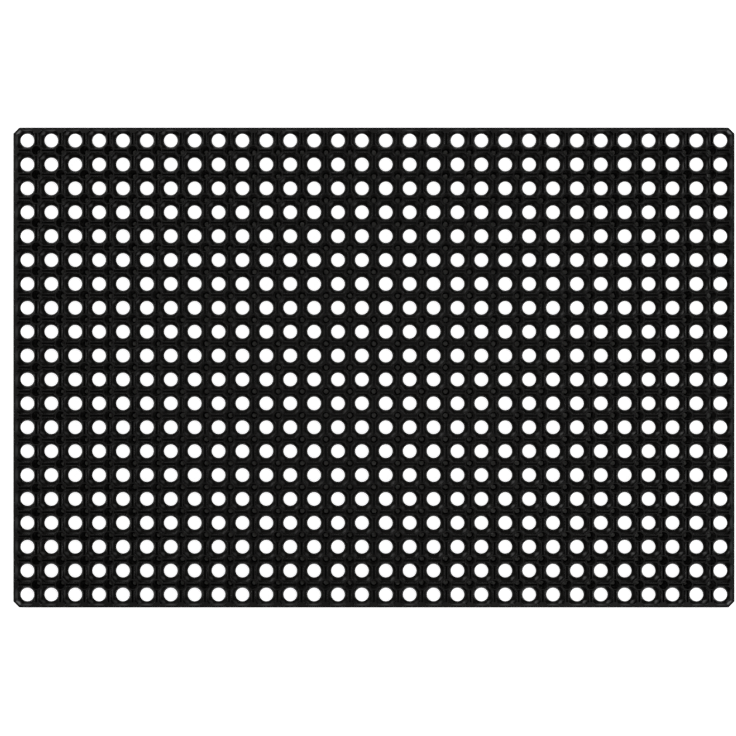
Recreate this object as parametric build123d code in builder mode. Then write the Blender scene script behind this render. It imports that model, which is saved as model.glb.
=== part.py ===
"""A perforated rubber ring mat: rows of rings, rows of hollow studs between them, and a rim.

The mat is one moulding. It is divided here along its own features, so that every row of
rings, every row of studs, every side of the rim and every corner is a solid of its own.
Units are mm. +Z is up, the studs stand on Z = 0, and the origin is under the mat's centre.
X runs along the mat's long side.
"""

from build123d import *
from math import sqrt
import os

# The grid of rings
COLUMNS = 30
ROWS = 20
PITCH = 20.0
EDGE_MARGIN = 9.0  # from the centres of the outer holes to the mat's edge
CORNER_CUT = 5.0  # leg of the 45 degree cut at each corner
RIM_THICKNESS = 1.8

# Heights above the floor
HEIGHT = 16.0
GROOVE_FLOOR = 12.0
LEDGE_RIM_HEIGHT = 9.2
LEDGE_HEIGHT = 8.0
RING_UNDERSIDE = 5.7
PIT_FLOOR = 4.0

# One ring: an octagonal recess with a sloping ledge round a tapered hole
RECESS_WIDTH = 17.0
RECESS_DIAGONAL = 9.1  # from the hole's centre to the recess's four diagonal sides
LEDGE_RIM_RADIUS = 8.4
LEDGE_HOLE_RADIUS = 6.9
HOLE_RADIUS = 5.6

# The narrow groove between neighbouring rings, and the web that the rings share under it
GROOVE_WIDTH = 1.2
GROOVE_END = 5.0  # past the outer holes' centres, where the grooves stop short of the rim

# One stud: a collar among four rings, a foot below it, and a pit down its middle
COLLAR_RADIUS = 4.8
SHANK_RADIUS = 4.4
FOOT_RADIUS = 3.4
PIT_TOP_RADIUS = 3.6
PIT_FLOOR_RADIUS = 2.3

# Worked out from the sizes above
LENGTH = (COLUMNS - 1) * PITCH + 2 * EDGE_MARGIN
WIDTH = (ROWS - 1) * PITCH + 2 * EDGE_MARGIN
INNER_LENGTH = LENGTH - 2 * RIM_THICKNESS
RECESS_CORNER_CUT = RECESS_WIDTH - sqrt(2) * RECESS_DIAGONAL
CORNER_BLOCK = CORNER_CUT + RIM_THICKNESS / 2
RING_HEIGHT = HEIGHT - RING_UNDERSIDE
STUD_COLUMNS = COLUMNS - 1
STUD_ROWS = ROWS - 1
ON_FLOOR = (Align.CENTER, Align.CENTER, Align.MIN)


def row_centre(index, count):
    """Y of one of a number of rows a pitch apart, counted from the front."""
    return (index - (count - 1) / 2) * PITCH


def ring_row(number):
    """Thirty rings side by side, scalloped where the collars of the studs pass."""
    row_y = row_centre(number - 1, ROWS)
    with BuildPart() as row:
        with BuildSketch(Plane.XY.offset(RING_UNDERSIDE)) as slab:
            Rectangle(LENGTH, WIDTH)
            chamfer(slab.vertices(), CORNER_CUT)
            offset(amount=-RIM_THICKNESS, kind=Kind.INTERSECTION, mode=Mode.REPLACE)
            with Locations((0, row_y)):
                Rectangle(LENGTH, PITCH - GROOVE_WIDTH, mode=Mode.INTERSECT)
            for stud_y in (row_y - PITCH / 2, row_y + PITCH / 2):
                if abs(stud_y) < WIDTH / 2 - EDGE_MARGIN:
                    with Locations((0, stud_y)):
                        with GridLocations(PITCH, 0, STUD_COLUMNS, 1):
                            Circle(COLLAR_RADIUS, mode=Mode.SUBTRACT)
        extrude(amount=RING_HEIGHT)
        with BuildSketch(Plane.XY.offset(LEDGE_RIM_HEIGHT)) as recess:
            with Locations((0, row_y)):
                with GridLocations(PITCH, 0, COLUMNS, 1):
                    Rectangle(RECESS_WIDTH, RECESS_WIDTH)
            chamfer(recess.vertices(), RECESS_CORNER_CUT)
        extrude(amount=HEIGHT - LEDGE_RIM_HEIGHT, mode=Mode.SUBTRACT)
        with Locations((0, row_y, LEDGE_HEIGHT)):
            with GridLocations(PITCH, 0, COLUMNS, 1):
                Cone(
                    bottom_radius=LEDGE_HOLE_RADIUS,
                    top_radius=LEDGE_RIM_RADIUS,
                    height=LEDGE_RIM_HEIGHT - LEDGE_HEIGHT,
                    align=ON_FLOOR,
                    mode=Mode.SUBTRACT,
                )
        with Locations((0, row_y, RING_UNDERSIDE)):
            with GridLocations(PITCH, 0, COLUMNS, 1):
                Cone(
                    bottom_radius=HOLE_RADIUS,
                    top_radius=LEDGE_HOLE_RADIUS,
                    height=LEDGE_HEIGHT - RING_UNDERSIDE,
                    align=ON_FLOOR,
                    mode=Mode.SUBTRACT,
                )
        front_end = row_y - (GROOVE_END if number == 1 else PITCH / 2)
        back_end = row_y + (GROOVE_END if number == ROWS else PITCH / 2)
        with BuildSketch(Plane.XY.offset(GROOVE_FLOOR)):
            with Locations((0, (front_end + back_end) / 2)):
                with GridLocations(PITCH, 0, STUD_COLUMNS, 1):
                    Rectangle(GROOVE_WIDTH, back_end - front_end)
        extrude(amount=HEIGHT - GROOVE_FLOOR, mode=Mode.SUBTRACT)
    row.part.label = f"ring_row_{number:02d}"
    return row.part


def stud_rail(number):
    """Twenty-nine hollow studs on the web that lies under the groove between two ring rows.

    The web rises to the mat's top at both of its ends, where it meets the rim.
    """
    rail_y = row_centre(number - 1, STUD_ROWS)
    end_inner = LENGTH / 2 - EDGE_MARGIN + GROOVE_END
    end_length = INNER_LENGTH / 2 - end_inner
    with BuildPart() as rail:
        with BuildSketch(Plane.XY.offset(RING_UNDERSIDE)):
            with Locations((0, rail_y)):
                Rectangle(INNER_LENGTH, GROOVE_WIDTH)
        extrude(amount=GROOVE_FLOOR - RING_UNDERSIDE)
        with Locations((0, rail_y, RING_UNDERSIDE)):
            with GridLocations(2 * end_inner + end_length, 0, 2, 1):
                Box(end_length, GROOVE_WIDTH, RING_HEIGHT, align=ON_FLOOR)
        with Locations((0, rail_y, RING_UNDERSIDE)):
            with GridLocations(PITCH, 0, STUD_COLUMNS, 1):
                Cylinder(COLLAR_RADIUS, RING_HEIGHT, align=ON_FLOOR)
        with Locations((0, rail_y, 0)):
            with GridLocations(PITCH, 0, STUD_COLUMNS, 1):
                Cone(FOOT_RADIUS, SHANK_RADIUS, RING_UNDERSIDE, align=ON_FLOOR)
        with Locations((0, rail_y, PIT_FLOOR)):
            with GridLocations(PITCH, 0, STUD_COLUMNS, 1):
                Cone(
                    bottom_radius=PIT_FLOOR_RADIUS,
                    top_radius=PIT_TOP_RADIUS,
                    height=HEIGHT - PIT_FLOOR,
                    align=ON_FLOOR,
                    mode=Mode.SUBTRACT,
                )
    rail.part.label = f"stud_row_{number:02d}"
    return rail.part


def rim_piece(name, centre, size):
    """The stretch of the rim wall that lies within one rectangle of the plan."""
    with BuildPart() as piece:
        with BuildSketch(Plane.XY.offset(RING_UNDERSIDE)) as wall:
            Rectangle(LENGTH, WIDTH)
            chamfer(wall.vertices(), CORNER_CUT)
            offset(amount=-RIM_THICKNESS, kind=Kind.INTERSECTION, mode=Mode.SUBTRACT)
            with Locations(centre):
                Rectangle(*size, mode=Mode.INTERSECT)
        extrude(amount=RING_HEIGHT)
    piece.part.label = name
    return piece.part


def rim():
    """The four straight sides of the rim and its four cut corners."""
    side_length = LENGTH - 2 * CORNER_BLOCK
    side_width = WIDTH - 2 * CORNER_BLOCK
    pieces = []
    for name, direction in (("front", -1), ("back", 1)):
        centre = (0, direction * WIDTH / 2)
        pieces.append(rim_piece(f"rim_{name}", centre, (side_length, 2 * CORNER_BLOCK)))
    for name, direction in (("left", -1), ("right", 1)):
        centre = (direction * LENGTH / 2, 0)
        pieces.append(rim_piece(f"rim_{name}", centre, (2 * CORNER_BLOCK, side_width)))
    for y_name, y_direction in (("front", -1), ("back", 1)):
        for x_name, x_direction in (("left", -1), ("right", 1)):
            centre = (x_direction * LENGTH / 2, y_direction * WIDTH / 2)
            size = (2 * CORNER_BLOCK, 2 * CORNER_BLOCK)
            pieces.append(rim_piece(f"corner_{y_name}_{x_name}", centre, size))
    return pieces


def main():
    os.makedirs("parts", exist_ok=True)
    pieces = [ring_row(number) for number in range(1, ROWS + 1)]
    pieces += [stud_rail(number) for number in range(1, STUD_ROWS + 1)]
    pieces += rim()
    for piece in pieces:
        export_step(piece, f"parts/{piece.label}.step")
    print(f"{len(pieces)} pieces, {LENGTH:g} x {WIDTH:g} x {HEIGHT:g} mm")


main()
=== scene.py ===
"""Looks for a moulded rubber ring mat: rings, hollow studs and rim, all in black rubber.

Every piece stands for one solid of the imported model. The ring and the stud are each modelled
once, at the origin, then copied along a row, and the rows are copied over the mat. Metres.
"""

import logging
from dataclasses import dataclass, field
from enum import Enum
from math import cos, radians, sqrt
from typing import Callable, Iterable, Sequence

import bmesh
import bpy
from mathutils import Matrix, Vector


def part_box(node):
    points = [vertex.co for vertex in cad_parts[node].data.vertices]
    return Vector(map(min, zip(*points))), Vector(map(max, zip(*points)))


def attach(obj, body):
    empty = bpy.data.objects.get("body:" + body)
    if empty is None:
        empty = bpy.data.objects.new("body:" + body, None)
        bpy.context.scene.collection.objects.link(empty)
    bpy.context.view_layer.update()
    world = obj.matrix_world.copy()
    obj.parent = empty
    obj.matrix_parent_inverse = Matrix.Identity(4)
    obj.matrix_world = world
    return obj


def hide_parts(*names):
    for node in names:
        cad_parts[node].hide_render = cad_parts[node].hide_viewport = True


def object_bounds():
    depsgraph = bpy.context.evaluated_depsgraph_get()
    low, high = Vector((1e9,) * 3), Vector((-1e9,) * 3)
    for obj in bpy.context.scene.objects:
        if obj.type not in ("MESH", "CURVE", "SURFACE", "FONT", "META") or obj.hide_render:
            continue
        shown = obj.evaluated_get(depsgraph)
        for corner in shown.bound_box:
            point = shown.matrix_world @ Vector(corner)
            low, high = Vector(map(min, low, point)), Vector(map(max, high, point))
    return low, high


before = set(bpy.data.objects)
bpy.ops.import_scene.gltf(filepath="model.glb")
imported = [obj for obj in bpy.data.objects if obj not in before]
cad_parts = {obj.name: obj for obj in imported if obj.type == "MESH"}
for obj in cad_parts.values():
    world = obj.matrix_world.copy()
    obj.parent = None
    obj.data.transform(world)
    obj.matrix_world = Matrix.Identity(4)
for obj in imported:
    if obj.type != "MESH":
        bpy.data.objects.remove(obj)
CAD_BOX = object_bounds()

MM = 0.001
GROOVE_DEPTH = 4 * MM
BODY = "root"
SUFFIX = "_moulding"
log = logging.getLogger("ring_mat")

Colour = tuple[float, float, float]
FaceTest = Callable[[bmesh.types.BMFace], bool]
EdgeTest = Callable[[bmesh.types.BMEdge], bool]


class End(Enum):
    """Which neighbour a ring has on one side: another ring, or the rim."""

    LOW_RIM = -1
    RING = 0
    HIGH_RIM = 1


def near(value: float, target: float) -> bool:
    """Whether two heights or places are the same to a hundredth of a millimetre."""
    return abs(value - target) < 0.01 * MM


def deselect_all() -> None:
    """Leaves nothing selected, so that an operator acts only on what is picked next."""
    bpy.ops.object.select_all(action="DESELECT")


class Workpiece:
    """One mesh on the bench, shaped in edit mode by picking faces or edges and working them."""

    def __init__(self, name: str) -> None:
        """Takes the object that a primitive operator has just added.

        Args:
            name: The object's name.
        """
        self.object = bpy.context.object
        self.object.name = name
        bpy.ops.object.transform_apply(location=True, rotation=True, scale=True)
        bpy.ops.object.mode_set(mode="EDIT")

    @classmethod
    def block(cls, name: str, low: Sequence[float], high: Sequence[float]) -> "Workpiece":
        """Starts from a block.

        Args:
            name: The object's name.
            low: The block's lowest corner.
            high: The block's highest corner.

        Returns:
            The workpiece, in edit mode.
        """
        deselect_all()
        low, high = Vector(low), Vector(high)
        bpy.ops.mesh.primitive_cube_add(size=1, location=(low + high) / 2, scale=high - low)
        return cls(name)

    @classmethod
    def drum(cls, name: str, sides: int, radius: float, bottom: float, top: float) -> "Workpiece":
        """Starts from an upright drum on the Z axis.

        Args:
            name: The object's name.
            sides: How many sides the drum has.
            radius: Its radius.
            bottom: The height of its bottom.
            top: The height of its top.

        Returns:
            The workpiece, in edit mode.
        """
        deselect_all()
        bpy.ops.mesh.primitive_cylinder_add(
            vertices=sides, radius=radius, depth=top - bottom, location=(0, 0, (bottom + top) / 2)
        )
        return cls(name)

    def _pick(self, kind: str, test: Callable[[object], bool]) -> None:
        """Selects the faces or edges that pass a test, and nothing else."""
        bpy.ops.mesh.select_mode(type=kind)
        bpy.ops.mesh.select_all(action="DESELECT")
        mesh = bmesh.from_edit_mesh(self.object.data)
        for element in mesh.faces if kind == "FACE" else mesh.edges:
            if test(element):
                element.select_set(True)
        mesh.select_flush_mode()
        bmesh.update_edit_mesh(self.object.data)

    def faces(self, test: FaceTest) -> "Workpiece":
        """Picks faces by a test."""
        self._pick("FACE", test)
        return self

    def edges(self, test: EdgeTest) -> "Workpiece":
        """Picks edges by a test."""
        self._pick("EDGE", test)
        return self

    def flat_faces(self, height: float) -> "Workpiece":
        """Picks the level faces at a height."""
        return self.faces(lambda f: all(near(v.co.z, height) for v in f.verts))

    def open_edges(self, *heights: float) -> "Workpiece":
        """Picks the open edges at the given heights."""
        return self.edges(
            lambda e: e.is_boundary and any(all(near(v.co.z, height) for v in e.verts) for height in heights)
        )

    def sharp_edges(self, height: float) -> "Workpiece":
        """Picks the edges at a height where a level face meets an upright one."""
        return self.edges(
            lambda e: all(near(v.co.z, height) for v in e.verts)
            and not e.is_boundary
            and e.calc_face_angle() > radians(45)
        )

    def bevel(self, width: float, segments: int = 1) -> "Workpiece":
        """Cuts back the picked edges."""
        bpy.ops.mesh.bevel(offset=width, offset_type="OFFSET", segments=segments, affect="EDGES")
        return self

    def inset(self, width: float) -> "Workpiece":
        """Insets the picked faces."""
        bpy.ops.mesh.inset(thickness=width, depth=0)
        return self

    def extrude(self, rise: float) -> "Workpiece":
        """Extrudes what is picked straight up, or down if the rise is negative."""
        bpy.ops.mesh.extrude_region_move(TRANSFORM_OT_translate={"value": (0, 0, rise)})
        return self

    def resize(self, factor: float) -> "Workpiece":
        """Widens or narrows what is picked about the Z axis."""
        bpy.ops.transform.resize(value=(factor, factor, 1), center_override=(0, 0, 0))
        return self

    def turn_profile(self, radius: float, stations: Iterable[tuple[float, float]]) -> "Workpiece":
        """Draws a picked round face out through a profile.

        Args:
            radius: The picked face's radius.
            stations: Each next radius and height.

        Returns:
            The workpiece, with the last face picked.
        """
        height = max(v.co.z for v in bmesh.from_edit_mesh(self.object.data).verts)
        for next_radius, next_height in stations:
            self.extrude(next_height - height).resize(next_radius / radius)
            radius, height = next_radius, next_height
        return self

    def add_circle(self, sides: int, radius: float, height: float) -> "Workpiece":
        """Adds an open circle to the mesh, and leaves it picked."""
        bpy.ops.mesh.select_mode(type="EDGE")
        bpy.ops.mesh.select_all(action="DESELECT")
        bpy.ops.mesh.primitive_circle_add(vertices=sides, radius=radius, location=(0, 0, height))
        return self

    def bridge(self) -> "Workpiece":
        """Joins the two picked loops with a band of faces."""
        bpy.ops.mesh.bridge_edge_loops()
        return self

    def delete_faces(self) -> "Workpiece":
        """Deletes the picked faces."""
        bpy.ops.mesh.delete(type="ONLY_FACE")
        return self

    def cut(self, point: Sequence[float], outward: Sequence[float]) -> "Workpiece":
        """Cuts off and closes everything on the outward side of a plane."""
        bpy.ops.mesh.select_all(action="SELECT")
        bpy.ops.mesh.bisect(plane_co=point, plane_no=outward, clear_outer=True, use_fill=True)
        return self

    def done(self) -> bpy.types.Object:
        """Turns every face outwards and leaves edit mode.

        Returns:
            The finished object.
        """
        bpy.ops.mesh.select_all(action="SELECT")
        bpy.ops.mesh.normals_make_consistent(inside=False)
        bpy.ops.object.mode_set(mode="OBJECT")
        return self.object


def reopen(source: bpy.types.Object, name: str) -> Workpiece:
    """Copies a finished object, with its own mesh, and puts the copy on the bench."""
    copy = copied(source, name)
    deselect_all()
    copy.select_set(True)
    bpy.context.view_layer.objects.active = copy
    return Workpiece(name)


def copied(source: bpy.types.Object, name: str, shift: Sequence[float] = (0, 0, 0)) -> bpy.types.Object:
    """Copies an object with its own mesh.

    Args:
        source: The object to copy.
        name: The copy's name.
        shift: How far the copy's mesh is moved.

    Returns:
        The copy, whose object stays at the origin.
    """
    copy = source.copy()
    copy.data = source.data.copy()
    copy.name = name
    copy.data.transform(Matrix.Translation(shift))
    bpy.context.collection.objects.link(copy)
    return copy


def joined(name: str, parts: Sequence[bpy.types.Object]) -> bpy.types.Object:
    """Joins objects into one.

    Args:
        name: The joined object's name.
        parts: The objects, which are used up.

    Returns:
        The joined object.
    """
    deselect_all()
    for part in parts:
        part.select_set(True)
    bpy.context.view_layer.objects.active = parts[0]
    if len(parts) > 1:
        bpy.ops.object.join()
    parts[0].name = name
    return parts[0]


def discard(parts: Iterable[bpy.types.Object]) -> None:
    """Removes patterns that have been copied."""
    for part in parts:
        bpy.data.objects.remove(part, do_unlink=True)


class Formula:
    """A number in a node tree, so that shader maths reads as ordinary maths."""

    def __init__(self, tree: bpy.types.NodeTree, socket: bpy.types.NodeSocket) -> None:
        """Wraps a socket of a node tree."""
        self.tree = tree
        self.socket = socket

    def _with(self, operation: str, first: object, second: object) -> "Formula":
        """Adds a Math node on two values."""
        node = self.tree.nodes.new("ShaderNodeMath")
        node.operation = operation
        for place, value in enumerate((first, second)):
            if isinstance(value, Formula):
                self.tree.links.new(value.socket, node.inputs[place])
            else:
                node.inputs[place].default_value = value
        return Formula(self.tree, node.outputs[0])

    def __add__(self, other: object) -> "Formula":
        """Sum."""
        return self._with("ADD", self, other)

    def __sub__(self, other: object) -> "Formula":
        """Difference."""
        return self._with("SUBTRACT", self, other)

    def __rsub__(self, other: object) -> "Formula":
        """Difference from a plain number."""
        return self._with("SUBTRACT", other, self)

    def __mul__(self, other: object) -> "Formula":
        """Product."""
        return self._with("MULTIPLY", self, other)

    def from_nearest(self, spacing: float) -> "Formula":
        """How far the number is from the nearest whole multiple of a spacing."""
        return self - self._with("SNAP", self + spacing / 2, spacing)

    def root(self) -> "Formula":
        """Square root."""
        return self._with("POWER", self, 0.5)

    def __abs__(self) -> "Formula":
        """The number without its sign."""
        return self._with("ABSOLUTE", self, 0.0)

    def or_more(self, other: object) -> "Formula":
        """The larger of two numbers."""
        return self._with("MAXIMUM", self, other)

    __radd__ = __add__
    __rmul__ = __mul__


class Shader:
    """A material's node tree, with one way to add a node."""

    def __init__(self, name: str) -> None:
        """Makes a material with an empty tree.

        Args:
            name: The material's name.
        """
        self.material = bpy.data.materials.new(name)
        self.material.use_nodes = True
        self.tree = self.material.node_tree
        self.tree.nodes.clear()

    def node(self, kind: str, settings: dict[str, object] | None = None, **values: object) -> bpy.types.Node:
        """Adds a node.

        Args:
            kind: The node's type, without its ShaderNode prefix.
            settings: Its settings, set first.
            values: A value or a link for each of its sockets, with spaces as underscores.

        Returns:
            The node.
        """
        node = self.tree.nodes.new("ShaderNode" + kind)
        for key, value in (settings or {}).items():
            setattr(node, key, value)
        for key, value in values.items():
            socket = node.inputs[key.replace("_", " ")]
            if isinstance(value, Formula):
                self.tree.links.new(value.socket, socket)
            elif isinstance(value, bpy.types.NodeSocket):
                self.tree.links.new(value, socket)
            else:
                socket.default_value = value
        return node

    def formula(self, socket: bpy.types.NodeSocket) -> Formula:
        """A socket as a number to calculate with."""
        return Formula(self.tree, socket)

    def axes(self, vector: bpy.types.NodeSocket) -> list[Formula]:
        """A vector's three numbers."""
        return [self.formula(output) for output in self.node("SeparateXYZ", Vector=vector).outputs]

    def noise(self, place: bpy.types.NodeSocket, size: float, detail: float, rough: float) -> Formula:
        """Noise of a given grain.

        Args:
            place: The coordinates that it reads.
            size: The size of its coarsest grain.
            detail: How many finer octaves it has.
            rough: How strong those are.

        Returns:
            The noise, from 0 to 1.
        """
        node = self.node("TexNoise", Vector=place, Scale=1 / size, Detail=detail, Roughness=rough)
        return self.formula(node.outputs["Factor" if "Factor" in node.outputs else "Fac"])

    def between(self, value: Formula, low: float, high: float) -> Formula:
        """Where a value stands between two limits, from 0 to 1, with soft ends."""
        node = self.node("MapRange", {"interpolation_type": "SMOOTHSTEP"}, Value=value)
        node.inputs["From Min"].default_value = low
        node.inputs["From Max"].default_value = high
        return self.formula(node.outputs["Result"])

    def mixed(self, mask: Formula, first: object, second: object) -> bpy.types.NodeSocket:
        """Two colours mixed by a mask."""
        node = self.tree.nodes.new("ShaderNodeMix")
        node.data_type = "RGBA"
        self.tree.links.new(mask.socket, node.inputs["Factor"])
        for socket, colour in zip((node.inputs[6], node.inputs[7]), (first, second)):
            if isinstance(colour, bpy.types.NodeSocket):
                self.tree.links.new(colour, socket)
            else:
                socket.default_value = (*colour, 1)
        return node.outputs[2]


@dataclass(frozen=True)
class MouldedRubber:
    """Black moulded rubber: dull on its worn top, smooth in its recesses, with painted fill light in its
    recesses and pits, and pale pit floors that are partly dust and partly painted light.
    """

    half_length: float
    half_width: float
    top: float
    pitch: float
    rim: float
    black: Colour = (0.0048, 0.0045, 0.0041)
    bloom: Colour = (0.0098, 0.0090, 0.0080)
    # painted fill light: a lighter colour standing in for light in the recesses and pits
    painted_fill: Colour = (0.018, 0.017, 0.016)
    # lint specks, and the pale disc on the pits' floors, which is partly dust and partly painted light
    dust_and_painted_light: Colour = (0.57, 0.56, 0.53)
    # painted highlight on the pits' floors in the last column
    painted_highlight: Colour = (0.85, 0.84, 0.81)
    specular: float = 0.22
    grain_size: float = 0.55 * MM
    speck_size: float = 1.3 * MM
    mottle_size: float = 9 * MM
    cloud_size: float = 70 * MM
    relief: float = 0.05 * MM
    ledge: float = 8 * MM
    pit_floor: float = 4 * MM
    pit_radius: float = 3.65 * MM
    pale_disc_radius: float = 2.2 * MM

    def material(self) -> bpy.types.Material:
        """Builds the material.

        Returns:
            The material, on Object coordinates.
        """
        shader = Shader("moulded_rubber")
        place = shader.node("TexCoord").outputs["Object"]
        normal = shader.node("NewGeometry").outputs["Normal"]
        level = shader.between(shader.axes(normal)[2], 0.55, 0.98)
        grain = shader.noise(place, self.grain_size, 3, 0.6)
        mottle = shader.noise(place, self.mottle_size, 4, 0.6)
        relief = (grain * 0.7 + mottle * 0.3) * (0.25 + level * 0.75)
        bump = shader.node("Bump", Height=relief, Strength=0.5, Distance=self.relief)
        surface = shader.node(
            "BsdfPrincipled",
            Base_Color=self.colour(shader, place, level, mottle),
            Roughness=self.roughness(shader, place, level, mottle, grain),
            Normal=bump.outputs["Normal"],
        )
        surface.inputs["Specular IOR Level"].default_value = self.specular
        output = shader.node("OutputMaterial")
        shader.tree.links.new(surface.outputs[0], output.inputs["Surface"])
        return shader.material

    def colour(
        self, shader: Shader, place: bpy.types.NodeSocket, level: Formula, mottle: Formula
    ) -> bpy.types.NodeSocket:
        """Colours the rubber, with a cloudy bloom, specks of lint, painted fill light in the recesses and
        pits, a pale disc on the pits' floors that is partly dust and partly painted light, and a painted
        highlight on the pits' floors in the last column.

        Args:
            shader: The material's tree.
            place: The coordinates.
            level: How level the surface is.
            mottle: The middle-sized noise.

        Returns:
            The colour.
        """
        across, along, height = shader.axes(place)
        cloud = shader.noise(place, self.cloud_size, 3, 0.5)
        patches = shader.between(mottle * 0.6 + cloud * 0.4, 0.40, 0.66)
        specks = shader.between(shader.noise(place, self.speck_size, 2, 0.7), 0.70, 0.78)
        bare = shader.mixed(level * patches, self.black, self.bloom)
        # Painted fill light: everything below about the ledge is lightened, in place of light that hardly
        # reaches the recesses.
        low = shader.between(height, self.ledge + 3.5 * MM, self.ledge + 1.5 * MM)
        recess_fill = shader.mixed(low * 0.55, bare, self.painted_fill)
        skin = shader.mixed(specks * level * 0.10, recess_fill, self.dust_and_painted_light)

        from_stud_x, from_stud_y = across.from_nearest(self.pitch), along.from_nearest(self.pitch)
        from_stud = (from_stud_x * from_stud_x + from_stud_y * from_stud_y).root()
        in_bore = shader.between(from_stud, self.pit_radius, self.pit_radius - 0.1 * MM)
        above_foot = shader.between(height, self.pit_floor - 0.7 * MM, self.pit_floor - 0.5 * MM)
        deep = shader.between(height, self.top - 2.0 * MM, self.pit_floor)
        in_pit = in_bore * above_foot * deep
        uneven = 0.6 + mottle * 0.8
        # Pale disc on each pit's floor: partly dust, partly painted light where the floor looks lit.
        on_floor = shader.between(from_stud, self.pale_disc_radius, self.pale_disc_radius - 0.6 * MM) * level
        # Painted highlight: the pits' floors in the last column are made paler, standing in for a reflection
        # of a light.
        last_column_highlight = shader.between(across, self.half_length - 27 * MM, self.half_length - 24 * MM)
        # Painted fill light on the pits' walls and floors, uneven with the mottle.
        painted_fill_in_pits = shader.mixed(in_pit * uneven, skin, self.painted_fill)
        with_pale_floor_disc = shader.mixed(in_pit * on_floor * uneven, painted_fill_in_pits, self.dust_and_painted_light)
        return shader.mixed(in_pit * level * last_column_highlight, with_pale_floor_disc, self.painted_highlight)

    def roughness(
        self, shader: Shader, place: bpy.types.NodeSocket, level: Formula, mottle: Formula, grain: Formula
    ) -> Formula:
        """Makes the worn top and the rim's upright faces duller than the recesses.

        Args:
            shader: The material's tree.
            place: The coordinates.
            level: How level the surface is.
            mottle: The middle-sized noise.
            grain: The finest noise.

        Returns:
            The roughness.
        """
        across, along, height = shader.axes(place)
        worn = shader.between(height, self.top - 1.0 * MM, self.top - 0.2 * MM)
        past_edge = (abs(across) - self.half_length).or_more(abs(along) - self.half_width)
        by_rim = shader.between(past_edge, -self.rim - 0.6 * MM, -self.rim - 0.2 * MM)
        dulling = 0.13 + mottle * 0.06 + grain * 0.06 + worn * 0.22
        return 0.14 + mottle * 0.06 + by_rim * (1 - level) * 0.45 + level * dulling


@dataclass(frozen=True)
class Grid:
    """Where the rings, studs and rim stand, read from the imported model."""

    columns: int
    rows: int
    pitch: float
    length: float
    width: float
    top: float
    underside: float
    groove_floor: float
    rim: float
    corner_cut: float

    @classmethod
    def from_frame(cls) -> "Grid":
        """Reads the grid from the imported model's nodes.

        Returns:
            The grid.
        """
        low, high = CAD_BOX
        rows = sum(name.startswith("ring_row_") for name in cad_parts)
        first, second = (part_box(f"stud_row_{n:02d}") for n in (1, 2))
        pitch = second[0].y - first[0].y
        ring_low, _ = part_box("ring_row_01")
        rim_low, rim_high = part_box("rim_left")
        corner_low, corner_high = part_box("corner_front_left")
        margin = (high.y - low.y - (rows - 1) * pitch) / 2
        columns = round((high.x - low.x - 2 * margin) / pitch) + 1
        return cls(
            columns=columns,
            rows=rows,
            pitch=pitch,
            length=high.x - low.x,
            width=high.y - low.y,
            top=high.z,
            underside=ring_low.z,
            groove_floor=high.z - GROOVE_DEPTH,
            rim=rim_high.x - rim_low.x,
            corner_cut=corner_high.x - corner_low.x - (rim_high.x - rim_low.x) / 2,
        )

    @property
    def margin(self) -> float:
        """From the outer hole centres to the mat's edge."""
        return (self.length - (self.columns - 1) * self.pitch) / 2

    def along(self, index: int, count: int) -> float:
        """The place of one of a number of things a pitch apart, counted from 0."""
        return (index - (count - 1) / 2) * self.pitch


@dataclass
class Ring:
    """One octagonal ring: a recess down to a ledge, and a tapered hole through its floor."""

    grid: Grid
    groove: float = 1.2 * MM
    wall: float = 0.9 * MM
    diagonal: float = 10.0 * MM
    ledge_rim: float = 9.2 * MM
    ledge: float = 8.0 * MM
    ledge_hole: float = 6.9 * MM
    hole: float = 5.6 * MM
    rounding: float = 0.16 * MM
    sides: int = 24
    lap: float = 0.3 * MM
    web_lap: float = 0.6 * MM

    @property
    def half(self) -> float:
        """From the hole's centre to the ring's outer face."""
        return (self.grid.pitch - self.groove) / 2

    @property
    def corner(self) -> float:
        """How far each corner of the ring is cut back along its sides."""
        return 2 * self.half - sqrt(2) * self.diagonal

    def pattern(self) -> bpy.types.Object:
        """Models the ring that has rings on all four sides.

        Returns:
            The ring, with its hole's axis on Z.
        """
        grid, half = self.grid, self.half
        ring = Workpiece.block("ring", (-half, -half, grid.underside), (half, half, grid.top))
        ring.edges(lambda e: abs(e.verts[0].co.z - e.verts[1].co.z) > MM).bevel(self.corner)
        ring.flat_faces(grid.top).inset(self.wall).extrude(self.ledge_rim - grid.top).delete_faces()
        ring.flat_faces(grid.underside).delete_faces()
        ring.add_circle(self.sides, self.ledge_hole, self.ledge)
        ring.extrude(grid.underside - self.ledge).resize(self.hole / self.ledge_hole)
        ring.open_edges(self.ledge, self.ledge_rim).bridge()
        ring.open_edges(grid.underside).bridge()
        ring.sharp_edges(grid.top).bevel(self.rounding, 2)
        return ring.done()

    def beside_rim(self, pattern: bpy.types.Object, across: End, along: End) -> bpy.types.Object:
        """Cuts the ring to meet the rim.

        Args:
            pattern: The ring that has rings on all four sides.
            across: Its neighbour in X.
            along: Its neighbour in Y.

        Returns:
            The cut ring.
        """
        reach = self.grid.margin - self.grid.rim + self.lap
        piece = reopen(pattern, f"ring_{across.name}_{along.name}")
        for direction in (Vector((across.value, 0, 0)), Vector((0, along.value, 0))):
            if direction.length:
                piece.cut(direction * reach, direction)
        if across.value and along.value:
            outward = Vector((across.value, along.value, 0)).normalized()
            to_corner = (2 * self.grid.margin - self.grid.corner_cut) / sqrt(2)
            piece.cut(outward * (to_corner - self.grid.rim + self.lap), outward)
        return piece.done()

    def web(self, length: float) -> bpy.types.Object:
        """Models the web under the groove between two rings.

        Args:
            length: The web's length.

        Returns:
            The web, along the X axis, centred on the origin.
        """
        half = self.groove / 2 + self.web_lap
        low, high = self.grid.underside + self.lap, self.grid.groove_floor
        return Workpiece.block("web", (-length / 2, -half, low), (length / 2, half, high)).done()


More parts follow.
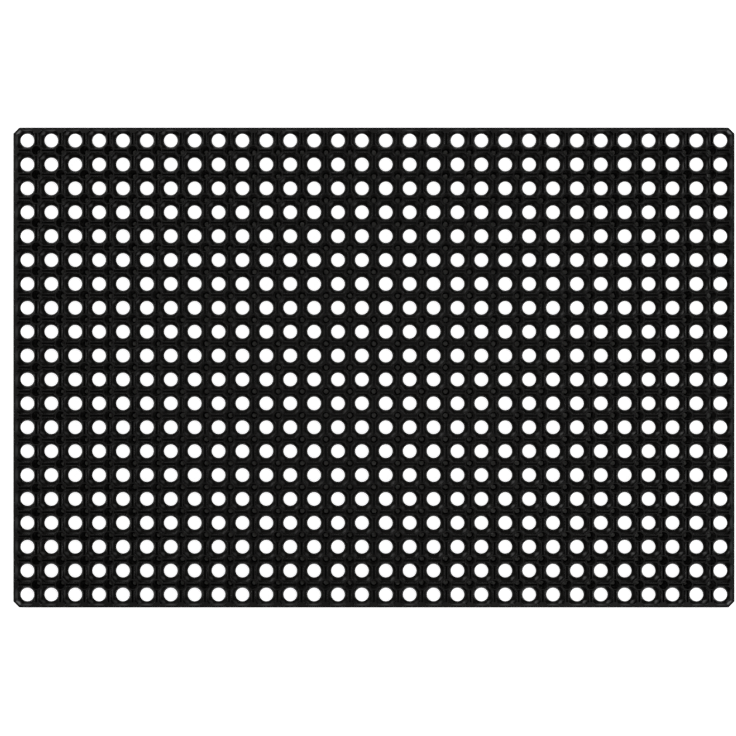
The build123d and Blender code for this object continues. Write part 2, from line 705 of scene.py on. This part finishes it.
@dataclass
class Spandrel:
    """The solid corner between two rings and the rim."""

    grid: Grid
    ring: Ring
    drop: float = 0.04 * MM

    def pattern(self) -> bpy.types.Object:
        """Models the spandrel against the rim's high side in Y.

        Returns:
            The spandrel, with the hole centres' line on the X axis.
        """
        grid, ring = self.grid, self.ring
        reach = grid.margin - grid.rim + ring.lap
        near_end = ring.half - ring.corner - ring.lap
        spread = grid.pitch / 2 - (ring.half - ring.lap)
        block = Workpiece.block(
            "spandrel",
            (-grid.pitch / 2, near_end, grid.underside),
            (grid.pitch / 2, reach, grid.top - self.drop),
        )
        for side in (-1, 1):
            block.cut((side * spread, near_end, 0), (side, -1, 0))
        return block.done()


@dataclass
class Stud:
    """One hollow stud: a foot on the floor, a collar among four rings, and a pit."""

    grid: Grid
    sides: int = 16
    foot: float = 3.4 * MM
    foot_rounding: float = 0.5 * MM
    shank: float = 4.4 * MM
    collar: float = 4.8 * MM
    rounding: float = 0.3 * MM
    pit_top: float = 3.6 * MM
    pit_floor: float = 2.3 * MM
    pit_floor_height: float = 4.0 * MM
    dip: float = 0.35 * MM

    def pattern(self) -> bpy.types.Object:
        """Models the stud.

        Returns:
            The stud, with its axis on Z.
        """
        grid, rounding = self.grid, self.rounding
        rib = rounding * (1 - sqrt(0.5))
        tip = self.foot - self.foot_rounding
        stud = Workpiece.drum("stud", self.sides, tip, 0, self.foot_rounding)
        stud.flat_faces(self.foot_rounding).resize(self.foot / tip)
        stud.turn_profile(
            self.foot,
            (
                (self.shank, grid.underside),
                (self.collar, grid.underside + rounding),
                (self.collar, grid.top - rounding),
                (self.collar - rib, grid.top - rib),
                (self.collar - rounding, grid.top),
                (self.pit_top + rounding, grid.top),
                (self.pit_top + rib, grid.top - rib),
                (self.pit_top, grid.top - rounding),
                (self.pit_floor + rounding, self.pit_floor_height + 2 * rounding),
                (self.pit_floor, self.pit_floor_height + rounding),
            ),
        )
        bpy.ops.mesh.poke(offset=-self.dip)
        return stud.done()

    @property
    def spacing_inside(self) -> float:
        """The length of a web that ends in the walls of two neighbouring studs."""
        return self.grid.pitch - self.pit_top - self.collar


@dataclass
class Rim:
    """The thin wall round the mat, with its four cut corners."""

    grid: Grid
    rounding: float = 0.4 * MM

    def wall(self, name: str) -> bpy.types.Object:
        """Models one straight side, in the box of its solid.

        Args:
            name: The solid's name.

        Returns:
            The side.
        """
        low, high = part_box(name)
        long_way = 0 if high.x - low.x > high.y - low.y else 1
        side = Workpiece.block(name, low, high)
        side.edges(
            lambda e: near(e.verts[0].co.z, high.z)
            and near(e.verts[1].co.z, high.z)
            and not near(e.verts[0].co[long_way], e.verts[1].co[long_way])
        )
        return side.bevel(self.rounding, 2).done()

    def corner(self, name: str) -> bpy.types.Object:
        """Models one cut corner, in the box of its solid.

        Args:
            name: The solid's name.

        Returns:
            The corner.
        """
        low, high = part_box(name)
        middle = (low + high) / 2
        outward = Vector((1 if middle.x > 0 else -1, 1 if middle.y > 0 else -1, 0))
        far = Vector((high.x if middle.x > 0 else low.x, high.y if middle.y > 0 else low.y, 0))
        outer = far - outward * (self.grid.corner_cut / 2)
        block = Workpiece.block(name, low, high)
        block.cut(outer, outward).cut(outer - outward.normalized() * self.grid.rim, -outward)
        block.sharp_edges(high.z)
        return block.bevel(self.rounding, 2).done()


@dataclass
class RingMat:
    """The whole mat: rows of rings, rows of studs and the rim."""

    grid: Grid
    finish: MouldedRubber
    pieces: list[bpy.types.Object] = field(default_factory=list)

    def build(self) -> None:
        """Builds, dresses and declares every piece."""
        material = self.finish.material()
        self.ring_rows()
        self.stud_rows()
        self.rim()
        for piece in self.pieces:
            self.smooth(piece)
            piece.data.materials.clear()
            piece.data.materials.append(material)
            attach(piece, BODY)
            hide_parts(piece.name.removesuffix(SUFFIX))
            log.info("%s: %d faces", piece.name, len(piece.data.polygons))

    @staticmethod
    def smooth(piece: bpy.types.Object) -> None:
        """Shades rounded edges smooth and keeps the wide faces flat."""
        deselect_all()
        piece.select_set(True)
        bpy.context.view_layer.objects.active = piece
        bpy.ops.object.shade_smooth_by_angle(angle=radians(50))
        bpy.ops.object.modifier_add(type="WEIGHTED_NORMAL")
        modifier = piece.modifiers[-1]
        modifier.keep_sharp = True
        modifier.weight = 90
        bpy.ops.object.modifier_apply(modifier=modifier.name)

    def ring_rows(self) -> None:
        """Builds the rows of rings from one ring."""
        grid = self.grid
        ring = Ring(grid)
        pattern, web = ring.pattern(), ring.web(Stud(grid).spacing_inside)
        web.data.transform(Matrix.Rotation(radians(90), 4, "Z"))
        spandrel = Spandrel(grid, ring).pattern()
        across = [End.LOW_RIM] + [End.RING] * (grid.columns - 2) + [End.HIGH_RIM]
        rows: dict[End, bpy.types.Object] = {}
        for along in End:
            kinds = {
                End.LOW_RIM: ring.beside_rim(pattern, End.LOW_RIM, along),
                End.RING: ring.beside_rim(pattern, End.RING, along),
                End.HIGH_RIM: ring.beside_rim(pattern, End.HIGH_RIM, along),
            }
            parts = [
                copied(kinds[kind], "part", (grid.along(column, grid.columns), 0, 0))
                for column, kind in enumerate(across)
            ]
            for column in range(grid.columns - 1):
                x = grid.along(column, grid.columns - 1)
                parts.append(copied(web, "part", (x, 0, 0)))
                if along is not End.RING:
                    parts.append(self.turned(spandrel, along.value, x))
            rows[along] = joined("row", parts)
            discard(kinds.values())
        for row in range(grid.rows):
            along = End.LOW_RIM if row == 0 else End.HIGH_RIM if row == grid.rows - 1 else End.RING
            name = f"ring_row_{row + 1:02d}{SUFFIX}"
            self.pieces.append(copied(rows[along], name, (0, grid.along(row, grid.rows), 0)))
        discard([pattern, web, spandrel, *rows.values()])

    @staticmethod
    def turned(spandrel: bpy.types.Object, direction: int, x: float) -> bpy.types.Object:
        """Copies a spandrel to the rim's low or high side in Y."""
        copy = copied(spandrel, "part")
        if direction < 0:
            copy.data.transform(Matrix.Rotation(radians(180), 4, "Z"))
        copy.data.transform(Matrix.Translation((x, 0, 0)))
        return copy

    def stud_rows(self) -> None:
        """Builds the rows of studs from one stud."""
        grid = self.grid
        ring = Ring(grid)
        stud = Stud(grid)
        pattern = stud.pattern()
        spandrel = Spandrel(grid, ring).pattern()
        web = ring.web(stud.spacing_inside)
        parts = [
            copied(pattern, "part", (grid.along(column, grid.columns - 1), 0, 0))
            for column in range(grid.columns - 1)
        ]
        parts += [
            copied(web, "part", (grid.along(column, grid.columns), 0, 0))
            for column in range(grid.columns)
        ]
        for direction in (-1, 1):
            end = copied(spandrel, "part")
            end.data.transform(Matrix.Rotation(radians(-90 * direction), 4, "Z"))
            centre = direction * (grid.length / 2 - grid.margin)
            end.data.transform(Matrix.Translation((centre, 0, 0)))
            parts.append(end)
        row = joined("row", parts)
        for number in range(grid.rows - 1):
            name = f"stud_row_{number + 1:02d}{SUFFIX}"
            self.pieces.append(copied(row, name, (0, grid.along(number, grid.rows - 1), 0)))
        discard([pattern, web, spandrel, row])

    def rim(self) -> None:
        """Builds the rim's sides and corners."""
        rim = Rim(self.grid)
        shapes = {"rim": rim.wall, "corner": rim.corner}
        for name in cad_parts:
            shape = shapes.get(name.split("_")[0])
            if shape:
                piece = shape(name)
                piece.name = name + SUFFIX
                self.pieces.append(piece)


@dataclass
class Studio:
    """A pale floor, soft lights all round, and a camera that looks straight down."""

    grid: Grid
    view_width: float = 0.610
    camera_height: float = 1.030
    camera_x: float = -0.0049
    camera_y: float = -0.0004
    floor_size: float = 40.0
    zenith: float = 0.12
    tent: float = 1.05
    dim_angle: float = 8.0
    bright_angle: float = 26.0
    fading_angle: float = 42.0
    faded_angle: float = 60.0
    faded: float = 0.3
    horizon_angle: float = 84.0
    horizon: float = 0.95

    def build(self) -> None:
        """Builds the floor, the lights and the camera."""
        self.floor()
        self.sky()
        self.lights()
        self.camera()
        bpy.context.scene.view_settings.view_transform = "Standard"

    def floor(self) -> None:
        """Lays the floor."""
        deselect_all()
        bpy.ops.mesh.primitive_plane_add(size=self.floor_size, location=(0, 0, 0))
        floor = bpy.context.object
        floor.name = "floor"
        shader = Shader("white_floor")
        surface = shader.node("BsdfPrincipled", Base_Color=(0.80, 0.80, 0.80, 1), Roughness=0.9)
        surface.inputs["Emission Color"].default_value = (1, 1, 1, 1)
        surface.inputs["Emission Strength"].default_value = 0.95
        output = shader.node("OutputMaterial")
        shader.tree.links.new(surface.outputs[0], output.inputs["Surface"])
        floor.data.materials.append(shader.material)

    def softbox(self, name: str, place: Sequence[float], size: float, power: float) -> None:
        """Hangs one soft light that faces the mat.

        Args:
            name: The light's name.
            place: Where it hangs.
            size: The length of its sides.
            power: Its power in watts.
        """
        data = bpy.data.lights.new(name, "AREA")
        data.shape = "SQUARE"
        data.size = size
        data.energy = power
        light = bpy.data.objects.new(name, data)
        light.location = place
        light.rotation_euler = (-Vector(place)).to_track_quat("-Z", "Y").to_euler()
        bpy.context.collection.objects.link(light)

    @staticmethod
    def ramp(height: Formula, first: float, last: float, start: float, end: float) -> Formula:
        """Blends softly from one value to another between two angles from straight up.

        Args:
            height: The Z of the direction.
            first: The first angle, in degrees.
            last: The last angle.
            start: The value up to the first angle.
            end: The value from the last angle on.

        Returns:
            The blended value.
        """
        node = height.tree.nodes.new("ShaderNodeMapRange")
        node.interpolation_type = "SMOOTHSTEP"
        height.tree.links.new(height.socket, node.inputs["Value"])
        for socket, value in zip(("From Min", "From Max"), (cos(radians(first)), cos(radians(last)))):
            node.inputs[socket].default_value = value
        for socket, value in zip(("To Min", "To Max"), (start, end)):
            node.inputs[socket].default_value = value
        return Formula(height.tree, node.outputs["Result"])

    def sky(self) -> None:
        """Sets a white tent: dim overhead, bright round the camera, and white at the horizon."""
        world = bpy.data.worlds.new("tent")
        world.use_nodes = True
        tree = world.node_tree
        background = tree.nodes["Background"]
        direction = tree.nodes.new("ShaderNodeTexCoord").outputs["Generated"]
        split = tree.nodes.new("ShaderNodeSeparateXYZ")
        tree.links.new(direction, split.inputs[0])
        strength = Formula(tree, split.outputs["Z"])
        near_camera = (self.dim_angle, self.bright_angle, self.zenith, self.tent)
        near_floor = (self.fading_angle, self.faded_angle, 1.0, self.faded)
        at_horizon = (self.horizon_angle, 88.0, 0.0, self.horizon)
        strength = (
            self.ramp(strength, *near_camera) * self.ramp(strength, *near_floor)
            + self.ramp(strength, *at_horizon)
        )
        tree.links.new(strength.socket, background.inputs["Strength"])
        bpy.context.scene.world = world

    def lights(self) -> None:
        """Hangs a softbox beyond each corner, a small one by the camera, and a weak fill."""
        self.softbox("back_left_softbox", (-0.90, 0.80, 1.15), 0.7, 9)
        self.softbox("back_right_softbox", (0.90, 0.80, 1.15), 0.7, 4)
        self.softbox("front_left_softbox", (-0.90, -0.80, 1.15), 0.7, 1.9)
        self.softbox("front_right_softbox", (0.85, -0.75, 1.15), 0.7, 5.6)
        self.softbox("overhead_softbox", (0.05, 0.05, 1.10), 0.16, 0.31)
        self.softbox("front_right_fill", (0.64, -0.42, 1.24), 0.4, 1.3)

    def camera(self) -> None:
        """Hangs the camera over the mat."""
        data = bpy.data.cameras.new("camera")
        data.sensor_width = 36
        data.lens = data.sensor_width * self.camera_height / self.view_width
        camera = bpy.data.objects.new("camera", data)
        camera.location = (self.camera_x, self.camera_y, self.grid.top + self.camera_height)
        bpy.context.collection.objects.link(camera)
        bpy.context.scene.camera = camera


def main() -> None:
    """Builds the mat and its studio."""
    logging.basicConfig(level=logging.INFO, format="%(message)s")
    grid = Grid.from_frame()
    log.info("%s", grid)
    rubber = MouldedRubber(grid.length / 2, grid.width / 2, grid.top, grid.pitch, grid.rim)
    RingMat(grid, rubber).build()
    Studio(grid).build()


if __name__ == "__main__":
    main()
